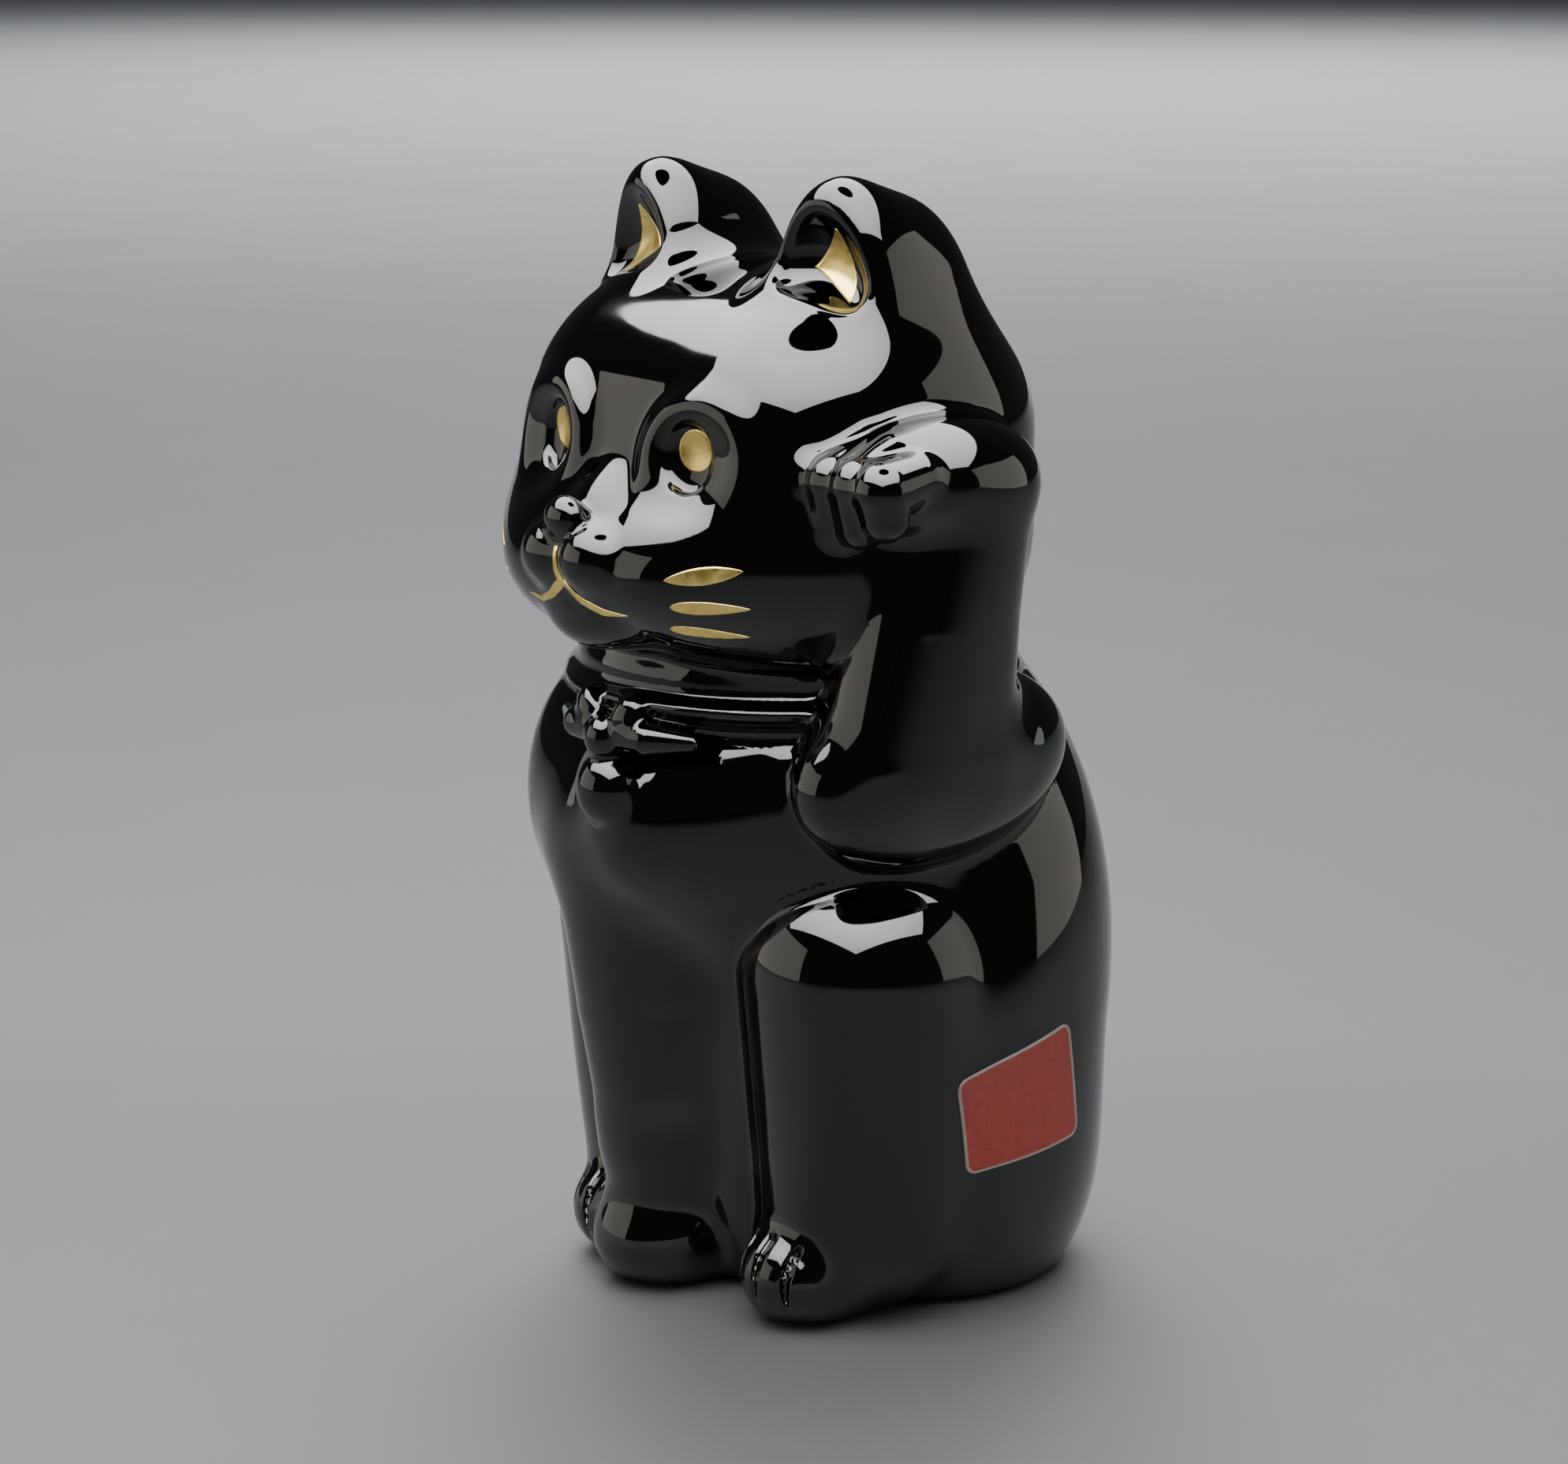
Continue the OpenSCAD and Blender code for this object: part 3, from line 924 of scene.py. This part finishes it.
@dataclass
class Gilding:
    """All the fired-gold films."""

    form: Form
    sizes: CatSizes
    finish: FiredGold = field(default_factory=FiredGold)

    def build(self) -> list[bpy.types.Object]:
        """Makes the films of both sides."""
        gold = self.finish.material()
        made = []
        for side in Side:
            s, word = side.value, side.name.lower()
            made.append((self._eye(word, s), f"{word}_eye_gilding"))
            made.append((self._ear(word, s), f"{word}_ear_gilding"))
            for n, level in enumerate(("upper", "middle", "lower")):
                made.append((self._whisker(word, s, n, level), f"{word}_whisker_{level}"))
        made.append((self._mouth(), "mouth_gilding"))
        for obj, node in made:
            obj.data.materials.append(gold)
            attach(obj, "root")
            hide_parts(node)
        return [obj for obj, _ in made]

    def _eye(self, word: str, s: int) -> bpy.types.Object:
        """The gold disc of one eye."""
        place = (s * (self.sizes.eye_x + 0.5), -19.2, self.sizes.eye_z + 0.35)
        patch = Patch(
            f"{word}_eye_gold", place, (s * 0.34, -1, 0.08), disc(3.4, 3.6), cells=(20, 20)
        )
        return patch.build(self.form)

    def _ear(self, word: str, s: int) -> bpy.types.Object:
        """The gold triangle of one ear."""
        place = (s * (self.sizes.ear_x + 1.1), -9.0, 92.0)
        inner, outer, top = (-2.3 * s, -0.1), (2.4 * s, -2.6), (0.5 * s, 3.4)
        feet = (inner, outer) if s > 0 else (outer, inner)
        outline = wedge((*feet, top))
        patch = Patch(f"{word}_ear_gold", place, (0, -1, 0), outline, cells=(20, 24))
        return patch.build(self.form)

    def _whisker(self, word: str, s: int, n: int, level: str) -> bpy.types.Object:
        """One gold whisker."""
        x, z, rise, height = ((13.6, 67.8, 9, 1.5), (14.2, 65.0, 1, 1.2), (13.8, 62.3, -4, 1.1))[n]
        origin = (s * x, -22.0, z)
        facing = (s * 0.6, -0.8, (0.0, -0.1, -0.3)[n])
        outline = leaf(6.9, height, (1.0, 0.7, 0.62)[n])
        if s < 0:
            outline = flipped(outline)
        patch = Patch(
            f"{word}_whisker_{level}_gold", origin, facing, outline, cells=(28, 8), turn=s * rise
        )
        return patch.build(self.form)

    def _mouth(self) -> bpy.types.Object:
        """The mouth line: a stem and two curling arms, in one film."""
        stem = ((0.0, 69.0), (0.05, 67.6), (0.0, 66.3), (0.0, 65.9))
        far_arm = ((-6.6, 63.9), (-4.3, 63.7), (-2.0, 64.5))
        near_arm = ((2.0, 64.5), (4.3, 63.7), (6.8, 63.7))
        arms = (*far_arm, (0.0, 65.9), *near_arm)
        strokes = (
            (stem, (0.18, 0.26, 0.4, 0.42), 10),
            (arms, (0.04, 0.3, 0.34, 0.4, 0.34, 0.3, 0.04), 40),
        )
        parts = []
        for i, (path, half, cells) in enumerate(strokes):
            patch = Patch(
                f"mouth_stroke_{i}", (0, -26.5, 0), (0, -1, 0), self._stroke(path, half),
                cells=(cells, 4), lift=0.03 + 0.012 * i,
            )
            parts.append(patch.build(self.form))
        graph = bpy.context.evaluated_depsgraph_get()
        bm = bmesh.new()
        for obj in parts:
            bm.from_mesh(bpy.data.meshes.new_from_object(obj.evaluated_get(graph)))
        mesh = bpy.data.meshes.new("mouth_gold")
        bm.to_mesh(mesh)
        bm.free()
        for obj in parts:
            bpy.data.objects.remove(obj)
        obj = bpy.data.objects.new("mouth_gold", mesh)
        bpy.context.scene.collection.objects.link(obj)
        return obj

    @staticmethod
    def _stroke(path: Sequence[tuple[float, float]], half: Sequence[float]) -> Outline:
        """An outline that follows a path with a varying half width."""
        pts = np.array(path, float)
        t = np.linspace(0, 1, len(pts))

        def shape(u: float, v: float) -> tuple[float, float]:
            """One grid point on the stroke."""
            a, e = (u + 1) / 2, 0.06
            x, z = np.interp(a, t, pts[:, 0]), np.interp(a, t, pts[:, 1])
            before, after = max(0, a - e), min(1, a + e)
            dx = np.interp(after, t, pts[:, 0]) - np.interp(before, t, pts[:, 0])
            dz = np.interp(after, t, pts[:, 1]) - np.interp(before, t, pts[:, 1])
            w = np.interp(a, t, half) * v / max(math.hypot(dx, dz), 1e-6)
            return float(x - dz * w), float(z + dx * w)

        return shape


@dataclass
class FlankLabel:
    """The small paper label on the left flank."""

    form: Form
    width: float = 13.0
    height: float = 10.0
    finish: CoatedPaper = field(default_factory=CoatedPaper)

    def build(self) -> bpy.types.Object:
        """Makes the label."""
        outline = panel(self.width, self.height, 1.1, 0.22)
        patch = Patch(
            "flank_label", (23.3, 4.7, 19.4), (1, -0.06, 0), outline,
            cells=(40, 32), lift=0.1, thickness=0.1, turn=11,
        )
        obj = patch.build(self.form)
        obj.data.materials.append(self.finish.material())
        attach(obj, "root")
        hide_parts("haunch_label")
        return obj


# ---------------------------------------------------------------- studio


WARM = (1.0, 0.95, 0.86)


class Reach(Enum):
    """What a light acts on."""

    SHINE = "shine"
    WASH = "wash"


@dataclass(frozen=True)
class Lamp:
    """A rectangular soft light that either shines in the gloss or washes the matt surfaces."""

    name: str
    place: Point
    target: Point
    size: tuple[float, float]
    radiance: float
    reach: Reach = Reach.SHINE
    colour: tuple[float, float, float] = (1.0, 1.0, 1.0)
    falloff: float = 0.0

    def build(self) -> bpy.types.Object:
        """Adds the light, in metres.

        Returns:
            The light object.
        """
        data = bpy.data.lights.new(self.name, "AREA")
        data.shape, data.size, data.size_y = "RECTANGLE", self.size[0], self.size[1]
        data.energy = self.radiance * math.pi * self.size[0] * self.size[1]
        data.color = self.colour
        obj = bpy.data.objects.new(self.name, data)
        bpy.context.scene.collection.objects.link(obj)
        obj.location = self.place
        aim = Vector(self.target) - Vector(self.place)
        obj.rotation_euler = aim.to_track_quat("-Z", "Y").to_euler()
        obj.visible_camera = False
        obj.visible_glossy = self.reach is Reach.SHINE
        obj.visible_diffuse = self.reach is Reach.WASH
        if self.falloff:
            self._fade(data)
        return obj

    def _fade(self, data: bpy.types.Light) -> None:
        """Dims the panel from its middle to its rim.

        Args:
            data: the light.
        """
        data.use_nodes = True
        tree = data.node_tree
        emission = next(n for n in tree.nodes if n.type == "EMISSION")
        place = tree.nodes.new("ShaderNodeNewGeometry")
        middle = tree.nodes.new("ShaderNodeVectorMath")
        middle.operation = "DISTANCE"
        middle.inputs[1].default_value = (0.5, 0.5, 0.0)
        tree.links.new(place.outputs["Parametric"], middle.inputs[0])
        dim = tree.nodes.new("ShaderNodeMapRange")
        dim.inputs["From Min"].default_value = 0.12
        dim.inputs["From Max"].default_value = 0.62
        dim.inputs["To Min"].default_value = 1.0
        dim.inputs["To Max"].default_value = 1.0 - self.falloff
        tree.links.new(middle.outputs["Value"], dim.inputs["Value"])
        tree.links.new(dim.outputs["Result"], emission.inputs["Strength"])


@dataclass
class Studio:
    """Pale floor, soft lights and camera."""

    azimuth: float = 50.0
    elevation: float = 12.5
    distance: float = 0.390
    target: Point = (0.0, -0.002, 0.0494)
    lens: float = 101.0

    def build(self) -> None:
        """Sets the whole stage."""
        self._floor()
        self._light()
        self._camera()

    def _floor(self) -> None:
        """A plain floor that runs far back behind the figure."""
        bm = bmesh.new()
        bmesh.ops.create_grid(bm, x_segments=1, y_segments=1, size=1.0)
        mesh = bpy.data.meshes.new("floor")
        bm.to_mesh(mesh)
        bm.free()
        floor = bpy.data.objects.new("floor", mesh)
        bpy.context.scene.collection.objects.link(floor)
        mesh.transform(Matrix.Diagonal((FLOOR_HALF, FLOOR_HALF, 1, 1)))
        mat, shader, tree = new_material("pale_floor")
        noise = Grain(30.0, 3.0).node(tree)
        stops = [(0.3, (0.50, 0.52, 0.54)), (0.7, (0.52, 0.54, 0.56))]
        colour = ramp(tree, noise.outputs["Fac"], stops)
        tree.links.new(colour.outputs["Color"], shader.inputs["Base Color"])
        shader.inputs["Roughness"].default_value = 0.6
        mesh.materials.append(mat)

    def _light(self) -> None:
        """A broad overhead softbox, a wash for the floor and a dim room."""
        world = bpy.data.worlds.new("room")
        bpy.context.scene.world = world
        world.use_nodes = True
        back = world.node_tree.nodes["Background"]
        back.inputs["Color"].default_value = (0.9, 0.93, 1.0, 1)
        back.inputs["Strength"].default_value = 0.05
        over, below = (0.035, -0.08, 0.40), (0.035, -0.08, 0.0)
        left, right = (-0.42, -0.52, 0.19), (0.45, 0.62, 0.22)
        middle = (0, 0, 0.10)
        near, far, far_floor = (-0.20, 0.17, 0.50), (-1.0, 0.95, 0.55), (-0.75, 0.70, 0)
        lamps = (
            Lamp("softbox", over, below, (0.87, 0.74), 14.0, falloff=0.45),
            Lamp("left_wall", left, middle, (0.80, 0.40), 1.3, colour=WARM),
            Lamp("right_wall", right, middle, (0.60, 0.44), 1.2, colour=WARM),
            Lamp("near_wash", near, (-0.20, 0.17, 0), (0.5, 0.5), 0.5, Reach.WASH),
            Lamp("far_wash", far, far_floor, (1.0, 1.0), 3.6, Reach.WASH),
        )
        for lamp in lamps:
            lamp.build()
        self._dark_disc((0.04, -0.01, 0.396), 0.085)

    @staticmethod
    def _dark_disc(place: Point, radius: float) -> None:
        """The dark opening in the middle of the softbox."""
        bm = bmesh.new()
        bmesh.ops.create_circle(bm, cap_ends=True, segments=64, radius=radius)
        mesh = bpy.data.meshes.new("softbox_opening")
        bm.to_mesh(mesh)
        bm.free()
        mesh.transform(Matrix.Translation(place))
        disc_obj = bpy.data.objects.new("softbox_opening", mesh)
        bpy.context.scene.collection.objects.link(disc_obj)
        mat, shader, _ = new_material("opening_black")
        shader.inputs["Base Color"].default_value = (0.01, 0.01, 0.01, 1)
        shader.inputs["Roughness"].default_value = 1.0
        mesh.materials.append(mat)
        disc_obj.visible_camera = False
        disc_obj.visible_diffuse = False
        disc_obj.visible_shadow = False

    def _camera(self) -> None:
        """The camera at the viewing angle."""
        data = bpy.data.cameras.new("camera")
        data.lens, data.sensor_width = self.lens, 36.0
        data.clip_start, data.clip_end = 0.01, 20.0
        obj = bpy.data.objects.new("camera", data)
        bpy.context.scene.collection.objects.link(obj)
        a, e = math.radians(self.azimuth), math.radians(self.elevation)
        back = Vector((math.sin(a) * math.cos(e), -math.cos(a) * math.cos(e), math.sin(e)))
        obj.location = Vector(self.target) + back * self.distance
        obj.rotation_euler = (-back).to_track_quat("-Z", "Y").to_euler()
        bpy.context.scene.camera = obj


def main() -> None:
    """Builds the figure and the studio."""
    logging.basicConfig(level=logging.INFO, format="%(name)s: %(message)s")
    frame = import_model()
    sizes = CatSizes()
    form = CatForm(sizes).build()
    body = Casting(form).build()
    log.info("%s: %d faces", body.name, len(body.data.polygons))
    for obj in Gilding(form, sizes).build():
        log.info("%s: %d faces", obj.name, len(obj.data.polygons))
    label = FlankLabel(form).build()
    log.info("%s: %d faces", label.name, len(label.data.polygons))
    Studio().build()
    bpy.context.view_layer.update()
    log.info("%d nodes in the frame", len(frame["nodes"]))


if __name__ == "__main__":
    main()
